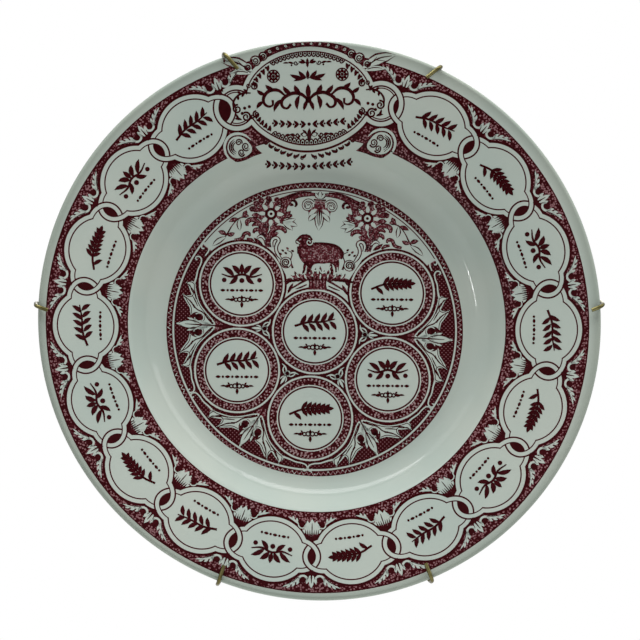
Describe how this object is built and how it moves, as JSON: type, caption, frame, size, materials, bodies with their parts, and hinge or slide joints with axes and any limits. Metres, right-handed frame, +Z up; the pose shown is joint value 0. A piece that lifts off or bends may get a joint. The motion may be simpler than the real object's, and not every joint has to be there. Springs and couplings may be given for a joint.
{
  "type": "seder plate",
  "caption": "Round glazed seder plate with a maroon printed rim and well, held on the wall by a sprung brass wire hanger that hooks over its edge.",
  "frame": {"origin": "where the wall nail sits, at the centre of the hanging bail's arch", "axes": "+Z up as the plate hangs, the plate's face looks along -Y, and +X is to the right seen from the front"},
  "size_m": [0.2638, 0.0348, 0.26],
  "materials": {
    "glazed_earthenware": "off-white earthenware body under a clear glossy glaze, with a maroon print under the glaze on the face",
    "brass_wire": "drawn brass-plated wire, dulled with handling",
    "spring_wire": "plated spring steel wire"
  },
  "bodies": {
    "bail": {"hanging_bail": "brass_wire"},
    "upper_grip": {"upper_wire": "brass_wire"},
    "dish": {"plate": "glazed_earthenware", "centre_ring": "brass_wire", "upper_spring": "spring_wire", "lower_spring": "spring_wire", "left_spring": "spring_wire", "right_spring": "spring_wire"},
    "lower_grip": {"lower_wire": "brass_wire"},
    "left_grip": {"left_wire": "brass_wire"},
    "right_grip": {"right_wire": "brass_wire"}
  },
  "joints": [
    {"name": "bail_swing", "type": "hinge", "parent": "bail", "child": "upper_grip", "pos_m": [0, -0.002, -0.034], "axis": [-1, 0, 0], "range_deg": [0, 7]},
    {"name": "upper_stretch", "type": "slide", "parent": "upper_grip", "child": "dish", "axis": [0, 0, -1], "range_m": [0, 0.01], "stiffness_N_per_m": 500, "springref_m": -0.04, "deforming": ["upper_spring"]},
    {"name": "lower_stretch", "type": "slide", "parent": "dish", "child": "lower_grip", "axis": [0, 0, -1], "range_m": [0, 0.01], "stiffness_N_per_m": 500, "springref_m": -0.04, "deforming": ["lower_spring"]},
    {"name": "left_stretch", "type": "slide", "parent": "dish", "child": "left_grip", "axis": [-1, 0, 0], "range_m": [0, 0.008], "stiffness_N_per_m": 500, "springref_m": -0.04, "deforming": ["left_spring"]},
    {"name": "right_stretch", "type": "slide", "parent": "dish", "child": "right_grip", "axis": [1, 0, 0], "range_m": [0, 0.008], "stiffness_N_per_m": 500, "springref_m": -0.04, "deforming": ["right_spring"]}
  ]
}
